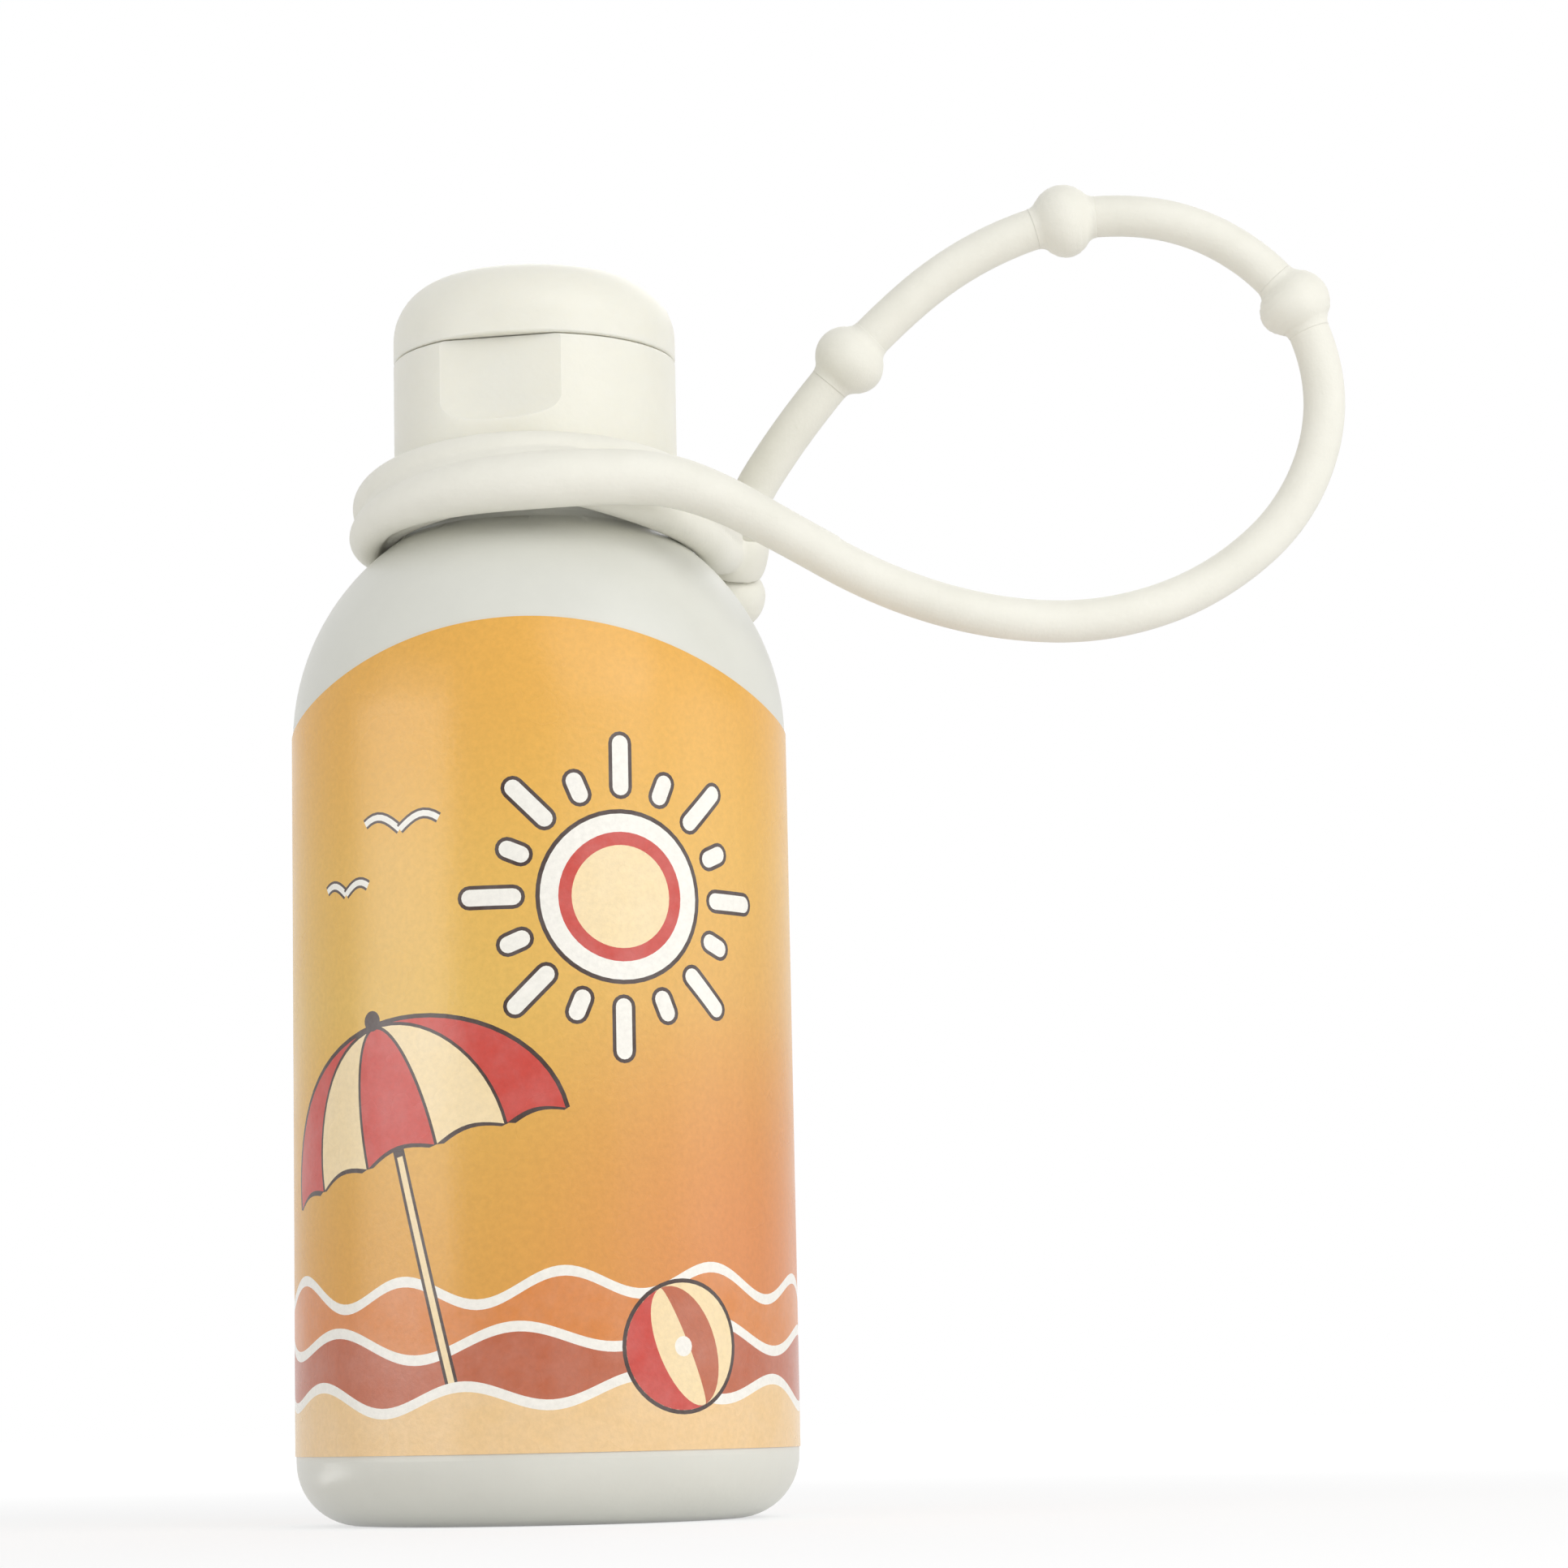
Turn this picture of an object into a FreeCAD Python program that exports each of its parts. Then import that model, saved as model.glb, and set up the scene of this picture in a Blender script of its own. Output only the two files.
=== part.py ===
"""A 50 ml travel bottle for sun lotion, with wrap label, flip-top screw cap and silicone hanging loop.

Millimetres, +Z up. The origin is the middle of the base; the front looks along -Y, the loop is at +X.
"""

import FreeCAD, Part
import math
import os

from FreeCAD import Vector

# Bottle
BODY_DIAMETER = 34.8
BODY_WALL = 1.0
WALL_HEIGHT = 54.6          # base to the start of the shoulder
HEEL_RADIUS = 4.4
PUSH_UP_DIAMETER = 22.0     # hollow under the base, inside the standing ring
PUSH_UP_DEPTH = 1.0
SHOULDER_RADIUS = 17.2
COLLAR_DIAMETER = 18.6      # plain neck that the strap goes round
COLLAR_FILLET = 0.6
BORE_DIAMETER = 13.0
FINISH_HEIGHT = 7.1         # threaded neck above the collar
RIM_FILLET = 0.3

# Screw thread of neck and cap
THREAD_PITCH = 2.5
THREAD_DEPTH = 0.8
THREAD_ROOT_WIDTH = 1.1
THREAD_CREST_WIDTH = 0.6
THREAD_CLEARANCE = 0.2
THREAD_SINK = 0.25          # how deep a ridge is rooted in its wall
NECK_TURNS = 1.45
CAP_TURNS = 1.0
THREAD_END_GAP = 0.25       # ridge end to the neck's rim

# Wrap label
LABEL_THICKNESS = 0.08
LABEL_BOTTOM = 4.8
LABEL_SIDE_RISE = 0.1       # top edge at the sides, above the start of the shoulder
LABEL_ARCH_RISE = 6.0       # and in front, above the sides
LABEL_SEAM = 1.0

# Cap
CAP_DIAMETER = 20.2
CAP_WALL = 1.5
CAP_TURN = -12.0            # the cap's front points this far to the left, degrees
CAP_GAP = 0.3               # cap to collar
CAP_EDGE_FILLET = 0.3
DECK_THICKNESS = 1.0
SEAL_THICKNESS = 0.7
SEAL_BORE = 10.4
SEAL_MARGIN = 0.3           # seal's edge to the cap's thread
SPOUT_DIAMETER = 5.2
SPOUT_BORE = 3.0
SPOUT_HEIGHT = 1.6
LID_SEAT_WIDTH = 0.8        # raised ring on the deck that centres the lid
LID_SEAT_HEIGHT = 0.8
LID_SEAT_CLEARANCE = 0.3
THUMB_FLAT_WIDTH = 8.8      # flat on the cap's front, below the lid's edge
THUMB_FLAT_HEIGHT = 6.3
THUMB_FLAT_RUN_OUT = 2.0
PARTING_GAP = 0.08
LID_HEIGHT = 5.8
LID_WALL = 1.0
LID_EDGE_RADIUS = 4.2
PARTING_FILLET = 0.2        # on the edges of lid and base
PIN_CLEARANCE = 0.2
PIN_ENGAGEMENT = 1.0
PIN_TIP_CHAMFER = 0.3
HINGE_WIDTH = 8.0
HINGE_REACH = 0.6           # hinge axis outside the cap's wall
HINGE_HEIGHT = 1.5
HINGE_CORNER = 0.4
WEB_WIDTH = 0.4
WEB_THICKNESS = 0.2

# Strap
STRAND_DIAMETER = 3.0
RING_TUBE_DIAMETER = 2.8
RING_CLEARANCE = 0.15       # ring to the cap's skirt, which it rises in front of
RING_TILT = 6.0             # the ring's front is raised, degrees
SEAT_GAP = 0.1              # strand to shoulder
STACK_SINK = 0.1            # how deep the wrapped strand lies in the ring above it
WRAP_START = 125.0          # degrees round the neck from +X, where the strand leaves the ring
WRAP_STEP = 25.0
WRAP_STEPS = 6
WRAP_FALL = 0.6             # share of the stack that each step drops until the strand lies below the ring
WRAP_LOWEST_STEP = 2        # the strand sits on the shoulder here
WRAP_SIDE_ROLL = 6.0        # rolled this far outwards round the ring's tube there, degrees
WRAP_FRONT_ROLL = 38.0      # and this far at the front
EYELET_DIAMETER = 5.0
EYELET_CLEARANCE = 0.25
EYELET_LENGTH = 3.0
EYELET_FROM_BALL = 4.2      # middle of the eyelet to the middle of the end ball
EYELET_FILLET = 0.6
LUG_DIAMETER = 3.2
BALL_DIAMETER = 5.3
BALL_FIRST = 20.1           # end ball to the first stop ball, back along the strand
BALL_PITCH = 18.9           # and from each stop ball to the next
STOP_BALLS = 3

# The free strand's route after the neck, as x, y and height above the foot of the collar
LOOP_ROUTE = [
    (10.8, -12.7, 1.4),
    (17.1, -10.7, -1.6),
    (24.5, -8.0, -5.5),
    (32.5, -4.8, -7.4),
    (40.5, -1.9, -7.2),
    (48.3, 0.6, -4.3),
    (54.9, 2.2, 1.5),
    (57.6, 2.7, 9.7),
    (55.1, 2.6, 17.9),
    (47.9, 2.4, 23.2),
    (39.1, 2.5, 23.9),
    (30.8, 2.9, 20.8),
    (23.9, 3.7, 15.1),
    (18.2, 5.2, 8.6),
    (14.3, 7.6, 2.5),
    (13.2, 10.8, -2.3),
]

UP = Vector(0, 0, 1)
ORIGIN = Vector(0, 0, 0)

# Radii that several pieces share
body_radius = BODY_DIAMETER / 2
collar_radius = COLLAR_DIAMETER / 2
bore_radius = BORE_DIAMETER / 2
cap_radius = CAP_DIAMETER / 2
cap_bore_radius = cap_radius - CAP_WALL
neck_crest_radius = cap_bore_radius - THREAD_CLEARANCE
neck_root_radius = neck_crest_radius - THREAD_DEPTH
cap_crest_radius = neck_root_radius + THREAD_CLEARANCE
lid_bore_radius = cap_radius - LID_WALL
hinge_y = cap_radius + HINGE_REACH
strand_radius = STRAND_DIAMETER / 2
ring_tube_radius = RING_TUBE_DIAMETER / 2
ring_tilt = math.radians(RING_TILT)
ring_radius = (cap_radius + RING_CLEARANCE + ring_tube_radius) / math.cos(ring_tilt)
ball_radius = BALL_DIAMETER / 2

shoulder_centre_radius = body_radius - SHOULDER_RADIUS


def shoulder_height(radius, off):
    """Height of a point at a radius and at a distance outside the shoulder's surface."""
    return WALL_HEIGHT + math.sqrt((SHOULDER_RADIUS + off) ** 2 - (radius - shoulder_centre_radius) ** 2)


# Heights, from the base up
label_side_z = WALL_HEIGHT + LABEL_SIDE_RISE
collar_foot_z = shoulder_height(collar_radius, 0)
stack = strand_radius + ring_tube_radius - STACK_SINK
side_roll = math.radians(WRAP_SIDE_ROLL)
seat_radius = ring_radius + stack * math.sin(side_roll)
ring_z = shoulder_height(seat_radius, strand_radius + SEAT_GAP) + stack * math.cos(side_roll)
cap_bottom_z = ring_z + ring_tube_radius
collar_top_z = cap_bottom_z - CAP_GAP
rim_z = collar_top_z + FINISH_HEIGHT
deck_bottom_z = rim_z + SEAL_THICKNESS
deck_top_z = deck_bottom_z + DECK_THICKNESS
lid_bottom_z = deck_top_z + PARTING_GAP
lid_top_z = lid_bottom_z + LID_HEIGHT
web_bottom_z = deck_top_z + (PARTING_GAP - WEB_THICKNESS) / 2
web_top_z = web_bottom_z + WEB_THICKNESS


def at(radius, z):
    """A point of a turned profile."""
    return Vector(radius, 0, z)


def line(start, end):
    return Part.LineSegment(start, end).toShape()


def arc(start, middle, end):
    return Part.Arc(start, middle, end).toShape()


def corner_arc(centre, radius, first, last):
    """An arc of a turned profile between two angles, in degrees from the radius direction."""
    points = []
    for angle in (first, (first + last) / 2, last):
        turn = math.radians(angle)
        points.append(at(centre.x + radius * math.cos(turn), centre.z + radius * math.sin(turn)))
    return arc(*points)


def turned(edges):
    """The solid that a closed profile makes when it is turned about Z."""
    face = Part.Face(Part.Wire(Part.__sortEdges__(edges)))
    return Part.Solid(face.revolve(ORIGIN, UP, 360).Shells[0])


def cylinder(radius, bottom, top):
    return Part.makeCylinder(radius, top - bottom, Vector(0, 0, bottom))


def tube(outer, inner, bottom, top):
    return cylinder(outer, bottom, top).cut(cylinder(inner, bottom, top))


def round_edges_at(shape, radius, z):
    """The circular edges of a turned shape at a radius and height."""
    found = []
    for edge in shape.Edges:
        if edge.Degenerated or edge.Curve.TypeId != "Part::GeomCircle":
            continue
        if abs(edge.Curve.Radius - radius) < 1e-4 and abs(edge.CenterOfMass.z - z) < 1e-4:
            found.append(edge)
    return found


def shoulder_arc(grow, end_turn):
    """The shoulder's arc, grown outwards, from its start up to an angle, and both its ends."""
    centre = at(shoulder_centre_radius, WALL_HEIGHT)
    edge = corner_arc(centre, SHOULDER_RADIUS + grow, 0, math.degrees(end_turn))
    return edge, edge.Vertexes[0].Point, edge.Vertexes[1].Point


def shoulder_turn_at_radius(grow, radius):
    return math.acos((radius - shoulder_centre_radius) / (SHOULDER_RADIUS + grow))


def shoulder_turn_at_height(grow, z):
    return math.asin((z - WALL_HEIGHT) / (SHOULDER_RADIUS + grow))


def dome(rim_radius, depth, base_z):
    """The base's shallow hollow, as an arc from the axis to its rim."""
    ball = (rim_radius**2 + depth**2) / (2 * depth)
    half = rim_radius / 2
    drop = ball - math.sqrt(ball**2 - half**2)
    return arc(at(0, base_z + depth), at(half, base_z + depth - drop), at(rim_radius, base_z))


def bottle_outside():
    """The bottle's outer surface up to the collar's foot, from the axis outwards."""
    heel_centre = at(body_radius - HEEL_RADIUS, HEEL_RADIUS)
    push_up_radius = PUSH_UP_DIAMETER / 2
    shoulder, shoulder_start, collar_foot = shoulder_arc(0, shoulder_turn_at_radius(0, collar_radius))
    edges = [
        dome(push_up_radius, PUSH_UP_DEPTH, 0),
        line(at(push_up_radius, 0), at(heel_centre.x, 0)),
        corner_arc(heel_centre, HEEL_RADIUS, -90, 0),
        line(at(body_radius, HEEL_RADIUS), shoulder_start),
        shoulder,
    ]
    return edges, collar_foot


def bottle_inside():
    """The bottle's inner surface, one wall inside the outer one, up to the bore."""
    inner_radius = body_radius - BODY_WALL
    inner_heel = HEEL_RADIUS - BODY_WALL
    heel_centre = at(body_radius - HEEL_RADIUS, HEEL_RADIUS)
    push_up_radius = PUSH_UP_DIAMETER / 2
    bore_turn = shoulder_turn_at_radius(-BODY_WALL, bore_radius)
    shoulder, shoulder_start, bore_foot = shoulder_arc(-BODY_WALL, bore_turn)
    edges = [
        dome(push_up_radius, PUSH_UP_DEPTH, BODY_WALL),
        line(at(push_up_radius, BODY_WALL), at(heel_centre.x, BODY_WALL)),
        corner_arc(heel_centre, inner_heel, -90, 0),
        line(at(inner_radius, HEEL_RADIUS), shoulder_start),
        shoulder,
    ]
    return edges, bore_foot


def thread_ridge(root_radius, crest_radius, turns):
    """A right-hand helical ridge that starts on +X at height 0, rooted in the wall behind it."""
    sink = math.copysign(THREAD_SINK, root_radius - crest_radius)
    half_root = THREAD_ROOT_WIDTH / 2
    half_crest = THREAD_CREST_WIDTH / 2
    corners = [
        at(root_radius + sink, -half_root),
        at(crest_radius, -half_crest),
        at(crest_radius, half_crest),
        at(root_radius + sink, half_root),
    ]
    profile = Part.makePolygon(corners + corners[:1])
    helix = Part.Wire(Part.makeHelix(THREAD_PITCH, THREAD_PITCH * turns, root_radius))
    return helix.makePipeShell([profile], True, True)


def neck_thread_start():
    """Height of the middle of the neck's ridge where it begins."""
    top = rim_z - THREAD_END_GAP - THREAD_ROOT_WIDTH / 2
    return top - THREAD_PITCH * NECK_TURNS


def bottle_shell():
    outside, collar_foot = bottle_outside()
    inside, bore_foot = bottle_inside()
    neck = [
        collar_foot,
        at(collar_radius, collar_top_z),
        at(neck_root_radius, collar_top_z),
        at(neck_root_radius, rim_z),
        at(bore_radius, rim_z),
        bore_foot,
    ]
    edges = outside + [line(a, b) for a, b in zip(neck, neck[1:])] + inside
    edges.append(line(at(0, PUSH_UP_DEPTH), at(0, PUSH_UP_DEPTH + BODY_WALL)))
    shell = turned(edges)
    shell = shell.makeFillet(COLLAR_FILLET, round_edges_at(shell, collar_radius, collar_foot_z))
    shell = shell.makeFillet(RIM_FILLET, round_edges_at(shell, collar_radius, collar_top_z))
    shell = shell.makeFillet(RIM_FILLET, round_edges_at(shell, bore_radius, rim_z))
    ridge = thread_ridge(neck_root_radius, neck_crest_radius, NECK_TURNS)
    ridge.translate(Vector(0, 0, neck_thread_start()))
    return shell.fuse(ridge)


def label_arch_cutter():
    """Everything above the label's top edge: arched in front, level at the back."""
    reach = body_radius + LABEL_THICKNESS
    peak_z = label_side_z + LABEL_ARCH_RISE
    over = collar_foot_z
    left = Vector(-reach, -reach, label_side_z)
    right = Vector(reach, -reach, label_side_z)
    edges = [
        arc(left, Vector(0, -reach, peak_z), right),
        line(right, Vector(reach, -reach, over)),
        line(Vector(reach, -reach, over), Vector(-reach, -reach, over)),
        line(Vector(-reach, -reach, over), left),
    ]
    front = Part.Face(Part.Wire(edges)).extrude(Vector(0, reach, 0))
    back = Part.makeBox(2 * reach, reach, over - label_side_z, Vector(-reach, 0, label_side_z))
    return front.fuse(back)


def wrap_label():
    """The film lies on the bottle's wall and the start of its shoulder."""
    top_z = label_side_z + LABEL_ARCH_RISE + LABEL_THICKNESS
    outer_radius = body_radius + LABEL_THICKNESS
    top_turn = shoulder_turn_at_height(LABEL_THICKNESS, top_z)
    shoulder, shoulder_start, shoulder_end = shoulder_arc(LABEL_THICKNESS, top_turn)
    film = turned([
        line(at(0, top_z), at(0, LABEL_BOTTOM)),
        line(at(0, LABEL_BOTTOM), at(outer_radius, LABEL_BOTTOM)),
        line(at(outer_radius, LABEL_BOTTOM), shoulder_start),
        shoulder,
        line(shoulder_end, at(0, top_z)),
    ])
    outside, collar_foot = bottle_outside()
    bottle = turned(outside + [
        line(collar_foot, at(0, collar_foot_z)),
        line(at(0, collar_foot_z), at(0, PUSH_UP_DEPTH)),
    ])
    seam = Part.makeBox(LABEL_SEAM, 2 * body_radius, top_z, Vector(-LABEL_SEAM / 2, 0, 0))
    return film.cut(bottle).cut(label_arch_cutter()).cut(seam)


def cap_turned(shape):
    """Turns a piece of the cap so that its front points where the cap's front does."""
    shape.rotate(ORIGIN, UP, CAP_TURN)
    return shape


def hinge_block(inner, bottom, top):
    """One half of the hinge's mount, which stands out from the cap's back wall."""
    corner = Vector(-HINGE_WIDTH / 2, inner, bottom)
    block = Part.makeBox(HINGE_WIDTH, hinge_y - inner, top - bottom, corner)
    uprights = [e for e in block.Edges if abs(e.tangentAt(e.FirstParameter).z) > 0.99]
    outer_uprights = [e for e in uprights if e.CenterOfMass.y > hinge_y - 1e-4]
    return block.makeFillet(HINGE_CORNER, outer_uprights)


def thumb_flat_cutter():
    """What the flat takes off the cap's front: the side of a block whose lower edge runs out softly."""
    half_width = THUMB_FLAT_WIDTH / 2
    flat_y = -math.sqrt(cap_radius**2 - half_width**2)
    bottom = deck_top_z - THUMB_FLAT_HEIGHT
    corner = Vector(-cap_radius, flat_y - cap_radius, bottom)
    block = Part.makeBox(2 * cap_radius, cap_radius, THUMB_FLAT_HEIGHT, corner)
    inner_bottom = [
        e for e in block.Edges
        if abs(e.CenterOfMass.y - flat_y) < 1e-4 and abs(e.CenterOfMass.z - bottom) < 1e-4
    ]
    return block.makeFillet(THUMB_FLAT_RUN_OUT, inner_bottom)


def cap_base():
    """Skirt, deck, spout, lid seat and the lower half of the hinge, with the thread inside."""
    skirt = cylinder(cap_radius, cap_bottom_z, deck_top_z)
    skirt = skirt.makeFillet(CAP_EDGE_FILLET, round_edges_at(skirt, cap_radius, cap_bottom_z))
    skirt = skirt.makeFillet(PARTING_FILLET, round_edges_at(skirt, cap_radius, deck_top_z))
    skirt = skirt.cut(cylinder(cap_bore_radius, cap_bottom_z, deck_bottom_z))
    spout_top = deck_top_z + SPOUT_HEIGHT
    lid_seat = lid_bore_radius - LID_SEAT_CLEARANCE
    base = skirt.fuse([
        cylinder(SPOUT_DIAMETER / 2, deck_bottom_z, spout_top),
        tube(lid_seat, lid_seat - LID_SEAT_WIDTH, deck_bottom_z, deck_top_z + LID_SEAT_HEIGHT),
        hinge_block(cap_bore_radius + HINGE_CORNER, web_bottom_z - HINGE_HEIGHT, web_bottom_z),
    ])
    base = base.cut([cylinder(SPOUT_BORE / 2, deck_bottom_z, spout_top), thumb_flat_cutter()])
    ridge = thread_ridge(cap_bore_radius, cap_crest_radius, CAP_TURNS)
    # The cap's ridge lies half a pitch below the neck's, from where the skirt has room for it.
    lowest = cap_bottom_z + CAP_EDGE_FILLET + THREAD_ROOT_WIDTH / 2
    turn = (lowest - neck_thread_start() + THREAD_PITCH / 2) / THREAD_PITCH * 360
    ridge.rotate(ORIGIN, UP, turn - CAP_TURN)
    ridge.translate(Vector(0, 0, lowest))
    return cap_turned(base.fuse(ridge).removeSplitter())


def seal_ring():
    """Liner between the neck's rim and the cap's deck."""
    return tube(cap_crest_radius - SEAL_MARGIN, SEAL_BORE / 2, rim_z, deck_bottom_z)


def flip_lid():
    """Domed lid with the upper half of the hinge and the pin that plugs the spout."""
    bend_z = lid_top_z - LID_EDGE_RADIUS
    bend = at(cap_radius - LID_EDGE_RADIUS, bend_z)
    inner_top_z = lid_top_z - LID_WALL
    shell = turned([
        line(at(0, lid_top_z), at(bend.x, lid_top_z)),
        corner_arc(bend, LID_EDGE_RADIUS, 90, 0),
        line(at(cap_radius, bend_z), at(cap_radius, lid_bottom_z)),
        line(at(cap_radius, lid_bottom_z), at(lid_bore_radius, lid_bottom_z)),
        line(at(lid_bore_radius, lid_bottom_z), at(lid_bore_radius, bend_z)),
        corner_arc(bend, LID_EDGE_RADIUS - LID_WALL, 0, 90),
        line(at(bend.x, inner_top_z), at(0, inner_top_z)),
        line(at(0, inner_top_z), at(0, lid_top_z)),
    ])
    shell = shell.makeFillet(PARTING_FILLET, round_edges_at(shell, cap_radius, lid_bottom_z))
    pin_radius = SPOUT_BORE / 2 - PIN_CLEARANCE
    pin_tip_z = deck_top_z + SPOUT_HEIGHT - PIN_ENGAGEMENT
    pin = cylinder(pin_radius, pin_tip_z, inner_top_z + LID_WALL / 2)
    pin = pin.makeChamfer(PIN_TIP_CHAMFER, round_edges_at(pin, pin_radius, pin_tip_z))
    mount = hinge_block(lid_bore_radius + LID_WALL / 2, web_top_z, web_top_z + HINGE_HEIGHT)
    return cap_turned(shell.fuse([pin, mount]).removeSplitter())


def hinge_web():
    """Thin film that joins the two halves of the hinge, with a round bead on the hinge's axis."""
    width = HINGE_WIDTH - 2 * HINGE_CORNER
    corner = Vector(-width / 2, hinge_y - WEB_WIDTH, web_bottom_z)
    film = Part.makeBox(width, WEB_WIDTH, WEB_THICKNESS, corner)
    bead_end = Vector(-width / 2, hinge_y, (web_bottom_z + web_top_z) / 2)
    bead = Part.makeCylinder(WEB_THICKNESS / 2, width, bead_end, Vector(1, 0, 0))
    return cap_turned(film.fuse(bead).removeSplitter())


def ring_point(turn, out, up):
    """A point beside the tilted ring's middle line, at an angle round the neck in radians."""
    y = ring_radius * math.sin(turn)
    height = ring_z - y * math.tan(ring_tilt) + up
    return Vector((ring_radius + out) * math.cos(turn), (ring_radius + out) * math.sin(turn), height)


def wrap_route():
    """Corners of the strand's path round the neck, from inside the ring to outside it in front."""
    corner_stretch = 1 / math.cos(math.radians(WRAP_STEP / 2))
    points = []
    for step in range(WRAP_STEPS + 1):
        away = stack * min(step * WRAP_FALL, 1.0)
        rolled = max(step - WRAP_LOWEST_STEP, 0) / (WRAP_STEPS - WRAP_LOWEST_STEP)
        roll = math.radians(WRAP_SIDE_ROLL + (WRAP_FRONT_ROLL - WRAP_SIDE_ROLL) * rolled)
        turn = math.radians(WRAP_START + step * WRAP_STEP)
        point = ring_point(turn, away * math.sin(roll), -away * math.cos(roll))
        if step:
            point.x *= corner_stretch
            point.y *= corner_stretch
        points.append(point)
    return points


def strand_route():
    """All corners of the strand's path, from its root in the ring to the end ball."""
    return wrap_route() + [Vector(x, y, collar_foot_z + height) for x, y, height in LOOP_ROUTE]


def route_edges(points):
    """Straight runs joined by tangent arcs, as wide as the shorter run allows; prints their radii."""
    edges, radii = [], []
    start = points[0]
    for before, corner, after in zip(points, points[1:], points[2:]):
        back, ahead = (before - corner), (after - corner)
        take = 0.45 * min(back.Length, ahead.Length)
        back.normalize()
        ahead.normalize()
        half_turn = (math.pi - back.getAngle(ahead)) / 2
        radius = take / math.tan(half_turn)
        inwards = back + ahead
        inwards.normalize()
        into, out = corner + back * take, corner + ahead * take
        middle = corner + inwards * (radius / math.cos(half_turn) - radius)
        edges += [line(start, into), arc(into, middle, out)]
        radii.append(round(radius, 1))
        start = out
    edges.append(line(start, points[-1]))
    print("strand bend radii", radii)
    return edges


def strand_paths():
    """The strand's path cut in two where it leaves the neck: the held part and the free part."""
    edges = route_edges(strand_route())
    exit_run = 2 * WRAP_STEPS
    run = edges[exit_run]
    first, last = run.Vertexes[0].Point, run.Vertexes[1].Point
    leave = (first + last) / 2
    held = edges[:exit_run] + [line(first, leave)]
    free = [line(leave, last)] + edges[exit_run + 1:]
    return Part.Wire(held), Part.Wire(free)


def strand_tube(path, radius):
    """A round tube along a path; prints its volume beside section times length."""
    start_edge = path.Edges[0]
    start = start_edge.valueAt(start_edge.FirstParameter)
    direction = start_edge.tangentAt(start_edge.FirstParameter)
    section = Part.Wire(Part.makeCircle(radius, start, direction))
    solid = path.makePipeShell([section], True, False)
    expected = math.pi * radius**2 * path.Length
    print("tube volume", round(solid.Volume, 2), "section x length", round(expected, 2))
    return solid


def point_back_along(path, distance):
    """The point of a path at a distance before its end, and the path's direction there."""
    left = distance
    for edge in reversed(path.Edges):
        if left <= edge.Length:
            where = edge.getParameterByLength(edge.Length - left)
            return edge.valueAt(where), edge.tangentAt(where)
        left -= edge.Length
    raise ValueError("the path is shorter than the distance")


def eyelet(free_path):
    """The eyelet's body and hole, round the strand just above the end ball, and its middle."""
    middle, direction = point_back_along(free_path, EYELET_FROM_BALL)
    start = middle - direction * (EYELET_LENGTH / 2)
    body = Part.makeCylinder(EYELET_DIAMETER / 2, EYELET_LENGTH, start, direction)
    body = body.makeFillet(EYELET_FILLET, [e for e in body.Edges if e.Curve.TypeId == "Part::GeomCircle"])
    hole_start = middle - direction * EYELET_LENGTH
    hole = Part.makeCylinder(strand_radius + EYELET_CLEARANCE, 2 * EYELET_LENGTH, hole_start, direction)
    return body, hole, middle


def neck_ring(held_path, free_path):
    """Ring round the collar, with the strand's wrapped root and, on a lug, the eyelet."""
    ring = Part.makeTorus(ring_radius, ring_tube_radius)
    ring.rotate(ORIGIN, Vector(1, 0, 0), -RING_TILT)
    ring.translate(Vector(0, 0, ring_z))
    body, hole, middle = eyelet(free_path)
    root = ring_point(math.atan2(middle.y, middle.x), 0, 0)
    reach = middle - root
    lug = Part.makeCylinder(LUG_DIAMETER / 2, reach.Length, root, reach)
    head = ring.fuse([strand_tube(held_path, strand_radius), lug, body])
    return head.cut(hole)


def stop_balls(free_path, strand):
    """The end ball and the stop balls, back along the strand, which fills their bores."""
    balls = {}
    for place in range(STOP_BALLS + 1):
        name = f"stop_ball_{place}" if place else "end_ball"
        back = BALL_FIRST + (place - 1) * BALL_PITCH if place else 0
        centre, direction = point_back_along(free_path, back)
        balls[name] = Part.makeSphere(ball_radius, centre, direction).cut(strand)
    return balls


def main():
    held_path, free_path = strand_paths()
    strand = strand_tube(free_path, strand_radius)
    nodes = {
        "bottle_shell": bottle_shell(),
        "wrap_label": wrap_label(),
        "seal_ring": seal_ring(),
        "cap_base": cap_base(),
        "hinge_web": hinge_web(),
        "flip_lid": flip_lid(),
        "neck_ring": neck_ring(held_path, free_path),
        "loop_strand": strand,
    }
    nodes.update(stop_balls(free_path, strand))
    os.makedirs("parts", exist_ok=True)
    for name, shape in nodes.items():
        print(name, len(shape.Solids), "solid, valid", shape.isValid(), "volume", round(shape.Volume, 2))
        shape.exportStep(f"parts/{name}.step")
    print("free strand from", free_path.Vertexes[0].Point, "length", round(free_path.Length, 1))
    print("collar foot", round(collar_foot_z, 2), "ring", round(ring_z, 2), "cap", round(cap_bottom_z, 2))
    print("rim", round(rim_z, 2), "deck", round(deck_top_z, 2), "top", round(lid_top_z, 2))


main()
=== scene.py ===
"""Dresses the sun lotion bottle: plastics, printed label, soft silicone strap, studio and camera.

Lengths are written in millimetres and become metres through mm(); the studio's are in metres as they stand.
+Z is up and the front looks along -Y.
"""

import math

import bmesh
import bpy
from mathutils import Matrix, Vector
from mathutils.geometry import delaunay_2d_cdt


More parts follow.
